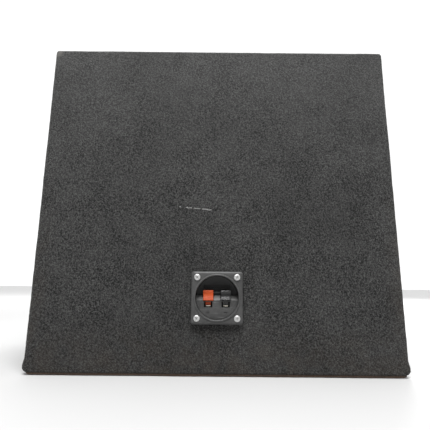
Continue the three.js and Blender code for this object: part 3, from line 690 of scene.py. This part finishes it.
def carpet_piece_of(quad):
    """Which piece of carpet a quad belongs to, or None behind the plate and inside the driver's cut-out."""
    middle = sum((Vector(p) for p in quad), Vector()) / 4
    from_cup = max(abs(middle.x - CUP.x), abs(middle.z - CUP.z))
    if middle.y == BOX_LOW.y and from_cup < PLATE_OPENING:
        return None
    from_driver = math.hypot(middle.x - DRIVER.x, middle.z - DRIVER.z)
    if middle.y == BOX_HIGH.y and from_driver < FRAME_RADIUS - DRIVER_LIP:
        return None
    if middle.z < SKIN:
        return "carpet_bottom"
    edge = min(middle.y - BOX_LOW.y, BOX_HIGH.y - middle.y, BOX_HIGH.z - middle.z)
    if middle.x in (BOX_LOW.x, BOX_HIGH.x) and edge > SIDE_LAP:
        return "carpet_left" if middle.x == BOX_LOW.x else "carpet_right"
    return "carpet_wrap"


def build_carpets():
    quads = {"carpet_wrap": [], "carpet_left": [], "carpet_right": [], "carpet_bottom": []}
    for quad in box_faces():
        owner = carpet_piece_of(quad)
        if owner:
            quads[owner].append(quad)
    for owner, kept in quads.items():
        index = {}
        faces = []
        for quad in kept:
            face = []
            for point in quad:
                key = tuple(round(c * 1e6) for c in point)
                if key not in index:
                    index[key] = (len(index), point)
                face.append(index[key][0])
            faces.append(tuple(face))
        points = [carpet_surface(point) for _, point in index.values()]
        piece = from_faces(f"{owner}_cloth", points, faces)
        thick = piece.modifiers.new("thickness", "SOLIDIFY")
        thick.thickness = CLOTH
        thick.offset = -1.0
        apply_modifiers(piece)
        smooth(piece, 60)
        dress(piece, "carpet", replaces=[owner])


# ---- terminal cup ----

def cup_point(x_mm, y_mm, z_mm):
    """A place in millimetres from the middle of the plate's front face, y into the box."""
    return CUP + Vector((x_mm, y_mm, z_mm)) * MM


def square_loop(half, radius, y):
    """Points round a square with rounded corners, evenly by angle about its middle."""
    loop = []
    for i in range(CUP_SIDES):
        turn = TAU * (i + 0.5) / CUP_SIDES
        direction = Vector((math.cos(turn), math.sin(turn)))
        reach = half / max(abs(direction.x), abs(direction.y))
        x, z = direction * reach
        core = half - radius
        if abs(x) > core and abs(z) > core:
            corner = Vector((math.copysign(core, x), math.copysign(core, z)))
            # where the ray from the middle meets the corner's arc
            along = corner.dot(direction)
            reach = along + math.sqrt(max(radius ** 2 - corner.length_squared + along ** 2, 0.0))
            x, z = direction * reach
        loop.append(cup_point(x, y, z))
    return loop


def round_loop(radius, y):
    turns = [TAU * (i + 0.5) / CUP_SIDES for i in range(CUP_SIDES)]
    return [cup_point(radius * math.cos(turn), y, radius * math.sin(turn)) for turn in turns]


def loft(name, loops):
    """A closed solid through loops of equal length, with the two ends capped."""
    count = len(loops[0])
    points = [p for loop in loops for p in loop]
    faces = [tuple(range(count)), tuple(range((len(loops) - 1) * count, len(loops) * count))]
    for near in range(0, (len(loops) - 1) * count, count):
        far = near + count
        for i in range(count):
            following = (i + 1) % count
            faces.append((near + i, near + following, far + following, far + i))
    return from_faces(name, points, faces)


BEAD_WIDTH = 2.0
BEAD_HEIGHT = 1.0
SLOT = ((-15.8, 15.8), (10.0, 13.9))
SLOT_DEPTH = 2.2
PLATE_THICK = 2.6
PLATE_EDGE = (              # inset of the square, its corner radius and its depth
    (0.0, 0.7, PLATE_THICK),
    (0.0, 0.7, 1.7),
    (0.1, 0.6, 1.5),
    (1.55, 0.2, 0.1),
    (1.75, 0.2, 0.0),
)
RECESS_WALL = (             # inset from the recess's radius, and depth
    (0.0, 0.5),
    (0.0, RECESS_DEPTH - 1.2),
    (0.4, RECESS_DEPTH - 0.3),
    (1.2, RECESS_DEPTH),
    (8, RECESS_DEPTH),
)
BARREL_WALL = 2
BARREL_END = RECESS_DEPTH + 2.5


def build_cup():
    """The square plate with its sloped edge, a raised bead round the recess, and the barrel behind."""
    bead = [(RECESS_RADIUS + BEAD_WIDTH / 2 * (1 + math.cos(a)), -BEAD_HEIGHT * math.sin(a))
            for a in (math.radians(d) for d in range(0, 181, 15))]
    loops = [
        round_loop(RECESS_RADIUS - RECESS_WALL[-1][0], BARREL_END),
        round_loop(RECESS_RADIUS + BARREL_WALL, BARREL_END),
        round_loop(RECESS_RADIUS + BARREL_WALL, PLATE_THICK),
        *[square_loop(PLATE_HALF - inset, radius, y) for inset, radius, y in PLATE_EDGE],
        *[round_loop(radius, y) for radius, y in bead],
        *[round_loop(RECESS_RADIUS - inset, y) for inset, y in RECESS_WALL],
    ]
    cup = loft("terminal_cup_moulding", loops)
    cutter = (SLOT[0], (RECESS_DEPTH - 2, RECESS_DEPTH + SLOT_DEPTH), SLOT[1])
    slot = cuboid("slot_cutter", *[(low * MM + middle, high * MM + middle)
                                   for middle, (low, high) in zip(CUP, cutter)])
    combine(cup, slot, "DIFFERENCE")
    smooth(cup, 28)
    dress(cup, "cup_plastic", replaces=["terminal_cup"])


TAB_HALF = 5.65
TAB_ROUNDING = 0.00032
PIVOT = (9.5, -3.0)              # y, z of the studs from the middle of the plate's front face
STUD = 1.2                       # radius
STUD_LENGTH = 1.5
STUD_ROOT = 0.6                  # how deep a stud starts inside the lever
STEM = {"half": 2.9, "y": (8.0, 10.5), "z": (-8.2, 1.0)}
RIDGES = 4


def bezier(start, control, end, steps):
    """Points along a quadratic curve, without its start."""
    result = []
    for i in range(1, steps + 1):
        t = i / steps
        result.append(tuple((1 - t) ** 2 * a + 2 * t * (1 - t) * b + t * t * c
                            for a, b, c in zip(start, control, end)))
    return result


def tab_outline():
    """Side view of a lever: rolled top edge, hollow thumb face, ridged slope, lip. [y, z] in millimetres."""
    slope_top = Vector((4.4, 1.0))
    slope_foot = Vector((2.7, -2.3))
    down = slope_foot - slope_top
    outward = Vector((down.y, -down.x)).normalized()
    ridges = []
    for i in range(RIDGES):
        for along, lift in ((0.15, 0.0), (0.38, 0.2), (0.62, 0.2), (0.85, 0.0)):
            spot = slope_top + down * (i + along) / RIDGES + outward * lift
            ridges.append(tuple(spot))
    return [
        (10.6, -4.4), (10.6, 3.6), (7.4, 7.5),
        *bezier((7.4, 7.5), (7.0, 8.0), (6.0, 7.9), 4),
        *bezier((6.0, 7.9), (5.0, 7.8), (4.8, 6.8), 6),
        *bezier((4.8, 6.8), (5.7, 4.2), tuple(slope_top), 8),
        *ridges,
        tuple(slope_foot),
        *bezier(tuple(slope_foot), (2.3, -3.3), (3.2, -3.1), 5),
        (8.0, 0.9), (8.0, -4.4),
    ]


def build_tabs():
    """Each lever with its stem and its two studs, in one piece as moulded."""
    for colour, body in (("red", "red_tab"), ("black", "black_tab")):
        low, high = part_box(f"{colour}_push_tab")
        middle = (low.x + high.x) / 2
        half = TAB_HALF * MM
        outline = [(CUP.y + y * MM, CUP.z + z * MM) for y, z in tab_outline()]
        tab = extrude_x(f"{colour}_tab_lever", outline, middle - half, middle + half)
        soften_edges(tab, TAB_ROUNDING, 3, 45)
        apply_modifiers(tab)
        stem = cuboid(f"{colour}_stem", (middle - STEM["half"] * MM, middle + STEM["half"] * MM),
                      [CUP.y + y * MM for y in STEM["y"]], [CUP.z + z * MM for z in STEM["z"]])
        combine(tab, stem, "UNION")
        profile = [(0, 0), (STUD * MM, 0), (STUD * MM, STUD_LENGTH * MM), (0, STUD_LENGTH * MM)]
        for side in (-1, 1):
            stud = lathe(f"{colour}_stud", profile, Vector(), 24)
            stud.data.transform(Matrix.Rotation(-side * math.pi / 2, 4, "Z"))
            root = middle + side * (half - STUD_ROOT * MM)
            start = Vector((root, CUP.y + PIVOT[0] * MM, CUP.z + PIVOT[1] * MM))
            stud.data.transform(Matrix.Translation(start))
            combine(tab, stud, "UNION")
        smooth(tab, 40)
        dress(tab, f"{colour}_tab", body, [f"{colour}_push_tab"])


CUP_SCREW = {"dome": 0.0024, "shank": 0.00175, "length": 0.018}
DRIVER_SCREW = {"dome": 0.0032, "shank": 0.0024, "length": 0.026}
DRIVER_SCREW_HEAD = 0.0048


def pan_head(name, centre, turn, outward, head, dome, shank, length):
    """A pan-head screw with a tapered cross recess. outward is 1 for a head facing +Y, -1 for -Y."""
    rim = dome * 0.34
    crown = [(head * (0.62 + 0.38 * math.cos(a)), rim + (dome * 0.86 - rim) * math.sin(a)) for a in
             (math.radians(d) for d in (10, 28, 46, 64, 80))]
    crown.append((head * 0.4, dome * 0.96))
    profile = [(0, -length), (shank * 0.35, -length + shank * 0.9), (shank, 2.6 * shank - length), (shank, 0),
               (head * 0.96, 0), (head, rim * 0.3), (head, rim * 0.9), *crown, (0, dome)]
    screw = lathe(name, profile, Vector(), 48)
    for k in range(2):
        arm = cuboid(f"{name}_arm{k}", (-head * 0.56, head * 0.56), (dome * 0.36, dome * 1.3),
                     (-head * 0.13, head * 0.13))
        arm.data.transform(Matrix.Rotation(k * math.pi / 2, 4, "Y"))
        combine(screw, arm, "DIFFERENCE")
    heart = lathe(f"{name}_heart", [(0, dome * 0.2), (head * 0.17, dome * 0.42), (head * 0.32, dome * 1.3),
                                    (0, dome * 1.3)], Vector(), 24)
    combine(screw, heart, "DIFFERENCE")
    screw.data.transform(Matrix.Rotation(turn, 4, "Y"))
    if outward < 0:
        screw.data.transform(Matrix.Rotation(math.pi, 4, "X"))
    screw.data.transform(Matrix.Translation(centre))
    return smooth(screw, 32)


def build_screws():
    """Four screws in the cup's plate and eight in the driver's frame, each turned as chance left it."""
    for i in range(1, 5):
        low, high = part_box(f"cup_screw_{i}")
        seat = Vector(((low.x + high.x) / 2, low.y + CUP_SCREW["dome"], (low.z + high.z) / 2))
        turn = random.uniform(0, math.pi / 2)
        piece = pan_head(f"cup_screw_{i}_head", seat, turn, -1, (high.x - low.x) / 2, **CUP_SCREW)
        dress(piece, "zinc_screw", replaces=[f"cup_screw_{i}"])
    for i in range(1, 9):
        low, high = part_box(f"driver_screw_{i}")
        seat = Vector(((low.x + high.x) / 2, high.y - DRIVER_SCREW["dome"], (low.z + high.z) / 2))
        turn = random.uniform(0, math.pi / 2)
        piece = pan_head(f"driver_screw_{i}_head", seat, turn, 1, DRIVER_SCREW_HEAD, **DRIVER_SCREW)
        dress(piece, "black_screw", replaces=[f"driver_screw_{i}"])


# ---- driver front, millimetres from the carpet's front face ----

LAND_Y = 5.5
ROLL_INNER = 110.0
ROLL_OUTER = 134.0
FLANGE_Y = 3.6
RUBBER_SHEET = 1.2
CONE_SHEET = 1.2
CONE_NECK = 26.6
CONE_SPAN = 82.6
CAP_RADIUS = 48.0
CAP_RISE = 17
CAP_SHEET = 0.8
SPIDER_Y = -74
SPIDER_SHEET = 0.8
SPIDER_RIPPLE = 2.6
SPIDER_WAVES = 3
SPIDER_NECK = 26.0
SPIDER_RIM = 73
RIPPLE_INNER = 31
RIPPLE_WIDTH = 27
TRIM_INNER = 135.6
TRIM_OUTER = 145.4
TRIM_BACK = 6.4
TRIM_FACE = 10.4


def driver_lathe(name, path_mm, thickness_mm=None, sides=160):
    profile = sheet_profile(path_mm, thickness_mm) if thickness_mm else path_mm
    return lathe(name, [(r * MM, y * MM) for r, y in profile], DRIVER, sides)


def cone_height(radius):
    """Depth of the cone at a radius, as its pressed profile."""
    neck_radius = 26.0
    neck_y = -52.0
    edge_y = 4.0
    along = max(radius - neck_radius, 0.0) / (ROLL_INNER - neck_radius)
    return neck_y + (edge_y - neck_y) * along ** 0.85


def build_cone():
    """The pressed cone, and the domed dust cap glued on it by a narrow rim."""
    radii = [CONE_NECK + CONE_SPAN * t / 24 for t in range(25)]
    path = [(radius, cone_height(radius)) for radius in radii]
    cone = smooth(driver_lathe("cone_body", path, CONE_SHEET), 50)
    dress(cone, "cone_paper", "cone_assembly", ["cone"])
    base = cone_height(CAP_RADIUS) + 1.9
    cap = [(CAP_RADIUS * t / 20, base + CAP_RISE * (1 - (t / 20) ** 2)) for t in range(20)]
    cap += [(CAP_RADIUS, base + 0.25), (CAP_RADIUS + 1.2, base + 0.05)]
    dome = smooth(driver_lathe("dust_cap_dome", cap, CAP_SHEET), 50)
    dress(dome, "cone_paper", "cone_assembly", ["dust_cap"])


def radial_blend(piece):
    """Bakes the piece's placing into its mesh."""
    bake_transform(piece)


def build_surround():
    """A half roll of rubber between a flat land on the cone and one on the frame."""
    middle = (ROLL_INNER + ROLL_OUTER) / 2
    radius = (ROLL_OUTER - ROLL_INNER) / 2
    turns = [math.pi * t / 28 for t in range(1, 28)]
    roll = [(middle - radius * math.cos(turn), LAND_Y + radius * math.sin(turn)) for turn in turns]
    path = [(104.0, LAND_Y), (107.5, LAND_Y), (109.2, LAND_Y + 0.15), *roll,
            (134.8, LAND_Y + 0.15), (137.0, LAND_Y), (146.0, LAND_Y)]
    surround = smooth(driver_lathe("surround_roll", path, RUBBER_SHEET), 60)
    dress(surround, "surround_rubber", None, ["surround"])
    radial_blend(surround)


def build_spider():
    """A rippled cloth disc from the former to the basket's shelf."""
    steps = 72
    ripple = [(RIPPLE_INNER + RIPPLE_WIDTH * t / steps,
               SPIDER_Y + SPIDER_RIPPLE * math.sin(TAU * SPIDER_WAVES * t / steps)) for t in range(steps + 1)]
    path = [(SPIDER_NECK, SPIDER_Y), *ripple, (SPIDER_RIM, SPIDER_Y)]
    spider = smooth(driver_lathe("spider_disc", path, SPIDER_SHEET, 120), 60)
    dress(spider, "spider_cloth", None, ["spider"])
    radial_blend(spider)


def build_trim():
    """The moulded ring that covers the surround's outer land."""
    outer_round = 1.3
    inner_round = 3.0
    profile = [
        (TRIM_INNER, TRIM_BACK),
        (TRIM_OUTER, TRIM_BACK),
        (TRIM_OUTER, TRIM_FACE - outer_round),
        *arc((TRIM_OUTER - outer_round, TRIM_FACE - outer_round), outer_round, 0, 90, 5),
        *arc((TRIM_INNER + inner_round, TRIM_FACE - inner_round), inner_round, 90, 180, 8),
    ]
    trim = smooth(driver_lathe("trim_ring_moulding", profile), 40)
    dress(trim, "surround_rubber", replaces=["trim_ring"])


WINDOWS = 6
WINDOW_HALF = 20                     # degrees
WINDOW_SPAN = (86.5, 122.5)          # radii between which the frame is open
BASKET_SIDES = 180
BASKET_SHEET = 2
BASKET_PATH = (                      # radius and y of the pressed sheet, from the motor to the rim
    (34, -95), (59, -95), (60.5, -94.4), (61, -93), (61, -77.4), (61.8, -76.2), (63, -75.8), (74, -75.8),
    (77, -73.8), (80, -70), (86.5, -64.2), (122.5, -31.8), (129, -26), (130.6, -12), (131.6, -1),
    (132.6, 2.4), (134, 3.4), (136, FLANGE_Y), (148, FLANGE_Y), (154.6, FLANGE_Y),
    (FRAME_RADIUS / MM - 1, 3.0),
)


def build_basket():
    """Pressed frame: the sheet is turned, its windows are left open, and then it is thickened."""
    count = len(BASKET_PATH)
    pitch = 360 / WINDOWS
    points = []
    faces = []
    for i in range(BASKET_SIDES):
        turn = TAU * i / BASKET_SIDES
        for radius, y in BASKET_PATH:
            points.append(DRIVER + Vector((radius * math.cos(turn), y, radius * math.sin(turn))) * MM)
        near = i * count
        far = (i + 1) % BASKET_SIDES * count
        angle = math.degrees(TAU * (i + 0.5) / BASKET_SIDES) % pitch
        in_window = min(angle, pitch - angle) < WINDOW_HALF
        for k in range(count - 1):
            if in_window and WINDOW_SPAN[0] <= BASKET_PATH[k][0] < WINDOW_SPAN[1]:
                continue
            faces.append((near + k, near + k + 1, far + k + 1, far + k))
    basket = from_faces("basket_frame", points, faces)
    thick = basket.modifiers.new("thickness", "SOLIDIFY")
    thick.thickness = BASKET_SHEET * MM
    thick.offset = 0.0
    soften_edges(basket, 0.0003, 2, 50)
    apply_modifiers(basket)
    smooth(basket, 40)
    dress(basket, "basket_paint", replaces=["basket"])


def smooth_path(points, steps):
    """Points along a smooth curve that passes through every given point."""
    ends = [points[0] * 2 - points[1], *points, points[-1] * 2 - points[-2]]
    result = [points[0]]
    for before, start, end, after in zip(ends, ends[1:], ends[2:], ends[3:]):
        for i in range(1, steps + 1):
            t = i / steps
            squared = (2 * before - 5 * start + 4 * end - after) * t ** 2
            cubed = (3 * start - before - 3 * end + after) * t ** 3
            result.append(0.5 * (2 * start + (end - before) * t + squared + cubed))
    return result


def tube(name, path, radius, sides=10):
    """A round cord along a path, with closed ends."""
    points = []
    side = Vector((1, 0, 0))
    for i, spot in enumerate(path):
        along = (path[min(i + 1, len(path) - 1)] - path[max(i - 1, 0)]).normalized()
        side = (side - along * side.dot(along)).normalized()
        other = along.cross(side)
        for k in range(sides):
            turn = TAU * k / sides
            points.append(spot + (side * math.cos(turn) + other * math.sin(turn)) * radius)
    last = (len(path) - 1) * sides
    faces = [tuple(range(sides)), tuple(range(last, last + sides))]
    for near in range(0, last, sides):
        far = near + sides
        for k in range(sides):
            following = (k + 1) % sides
            faces.append((near + k, near + following, far + following, far + k))
    return from_faces(name, points, faces)


def build_tinsel_leads():
    """Braided leads from the terminal board to the back of the cone."""
    for colour, side in (("red", -1), ("black", 1)):
        route = [(19, -59.4, -92), (19, -58.0, -91.5), (21, -50, -86), (20, -50, -72), (15, -44, -55),
                 (13, cone_height(46) - 2.5, -44)]
        path = smooth_path([DRIVER + Vector((side * x, y, z)) * MM for x, y, z in route], 6)
        cord = smooth(tube(f"{colour}_tinsel_braid", path, 1.0 * MM), 60)
        dress(cord, "copper", None, [f"{colour}_tinsel_lead"])
        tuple(path[0])
        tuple(path[-1])
        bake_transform(cord)


def build_springs():
    """Bent leaf behind each lever's stem; it stays in the cup and does not move with the lever."""
    turn = arc((13.6, -4.8), 2.0, 180, 360, 12)
    path = [(11.2, -1.6), (11.25, -2.6), (11.35, -3.6), *turn, (15.7, -3.4), (15.85, -2.0), (15.9, -1.0)]
    for colour in ("red", "black"):
        low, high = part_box(f"{colour}_tab_spring")
        outline = [(CUP.y + y * MM, CUP.z + z * MM) for y, z in sheet_profile(path, 0.4)]
        leaf = smooth(extrude_x(f"{colour}_spring_leaf", outline, low.x, high.x), 40)
        dress(leaf, "spring_steel", None, [f"{colour}_tab_spring"])
        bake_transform(leaf)


# ---- CAD nodes that keep their own shape ----

def dress_cad_nodes():
    """Every CAD node gets its slot's material; those that are seen also get rounded, crisp edges."""
    slots = {row["node"]: row["material_slot"] for row in frame["record"]["subparts"]}
    for node, piece in frame["nodes"].items():
        piece.data.materials.clear()
        piece.data.materials.append(MATERIALS[slots[node]])
        if piece.hide_render:
            continue
        soften_edges(piece, 0.0002, 2, 40)
        split_edges(piece)


# ---- camera, floor and light ----

CAMERA_AHEAD = 0.4045      # from the terminal panel
CAMERA_SIDE = -0.0031
CAMERA_HEIGHT = 0.0988
CAMERA_TILT = math.radians(11.04)
CAMERA_ROLL = math.radians(0.55)
CAMERA_LENS = 29.45

KEY_LIGHT = {
    "place": (-0.03, -0.65, 1.15),
    "target": (0.0, BOX_LOW.y, 0.15),
    "size": (0.72, 0.38),
    "power": 23.5,
}
DRIVER_LIGHT = {
    "place": (0.6, 1.6, 1.5),
    "target": (0.0, 0.1, 0.2),
    "size": (1.2, 1.0),
    "power": 46,
}
SKY_TERMINAL_SIDE = 0.22
SKY_DRIVER_SIDE = 1.1

FLOOR_REACH = 8
FLOOR_SHADES = ((0.49, 0.49, 0.49), (0.53, 0.53, 0.53))
FLOOR_FAR_PAINTED_LIGHT = (0.93, 0.93, 0.93)


def build_camera():
    data = bpy.data.cameras.new("camera")
    data.lens = CAMERA_LENS
    data.sensor_width = 36
    data.clip_start = 0.01
    camera = bpy.data.objects.new("camera", data)
    bpy.context.scene.collection.objects.link(camera)
    facing = Matrix.Rotation(math.pi / 2 + CAMERA_TILT, 4, "X") @ Matrix.Rotation(CAMERA_ROLL, 4, "Z")
    camera.matrix_world = Matrix.Translation((CAMERA_SIDE, BOX_LOW.y - CAMERA_AHEAD, CAMERA_HEIGHT)) @ facing
    bpy.context.scene.camera = camera


def area_light(name, place, target, size, power):
    data = bpy.data.lights.new(name, "AREA")
    data.shape = "RECTANGLE"
    data.size, data.size_y = size
    data.energy = power
    light = bpy.data.objects.new(name, data)
    light.location = place
    light.rotation_euler = (Vector(target) - Vector(place)).to_track_quat("-Z", "Y").to_euler()
    bpy.context.scene.collection.objects.link(light)


def build_studio():
    """A plain pale floor with painted light, paler with distance, a soft key light on each side, and the sky.
    """
    corners = [(x * FLOOR_REACH, y * FLOOR_REACH, 0) for x, y in ((-1, -1), (1, -1), (1, 1), (-1, 1))]
    floor = from_faces("floor", corners, [(0, 1, 2, 3)])
    nodes = Nodes("pale_floor")
    shade = nodes.blend(nodes.noise(3, 2), *FLOOR_SHADES)
    # painted light: the floor is painted paler away from the box, where less of the lamps' light reaches it
    shade = nodes.blend(nodes.span(nodes.distance((0, 0, 0)), 0.6, 2.2), shade, FLOOR_FAR_PAINTED_LIGHT)
    floor.data.materials.append(nodes.finish(shade, 0.7))
    build_sky()
    area_light("key", **KEY_LIGHT)
    area_light("driver_key", **DRIVER_LIGHT)


def build_sky():
    """A white backdrop on the driver's side, fading to a dim room on the terminal side."""
    world = bpy.data.worlds.new("studio")
    world.use_nodes = True
    tree = world.node_tree
    direction = tree.nodes.new("ShaderNodeTexCoord")
    split = tree.nodes.new("ShaderNodeSeparateXYZ")
    fade = tree.nodes.new("ShaderNodeMapRange")
    fade.inputs["From Min"].default_value = -0.5
    fade.inputs["From Max"].default_value = 0.15
    fade.inputs["To Min"].default_value = SKY_TERMINAL_SIDE
    fade.inputs["To Max"].default_value = SKY_DRIVER_SIDE
    tree.links.new(direction.outputs["Generated"], split.inputs["Vector"])
    tree.links.new(split.outputs["Y"], fade.inputs["Value"])
    tree.links.new(fade.outputs["Result"], tree.nodes["Background"].inputs["Strength"])
    tree.nodes["Background"].inputs["Color"].default_value = (1.0, 1.0, 1.0, 1.0)
    bpy.context.scene.world = world
    bpy.context.scene.view_settings.view_transform = "Standard"


# ---- make everything ----

build_camera()
build_studio()
build_carpets()
build_cup()
build_tabs()
build_springs()
build_screws()
build_cone()
build_surround()
build_spider()
build_tinsel_leads()
build_trim()
build_basket()
dress_cad_nodes()
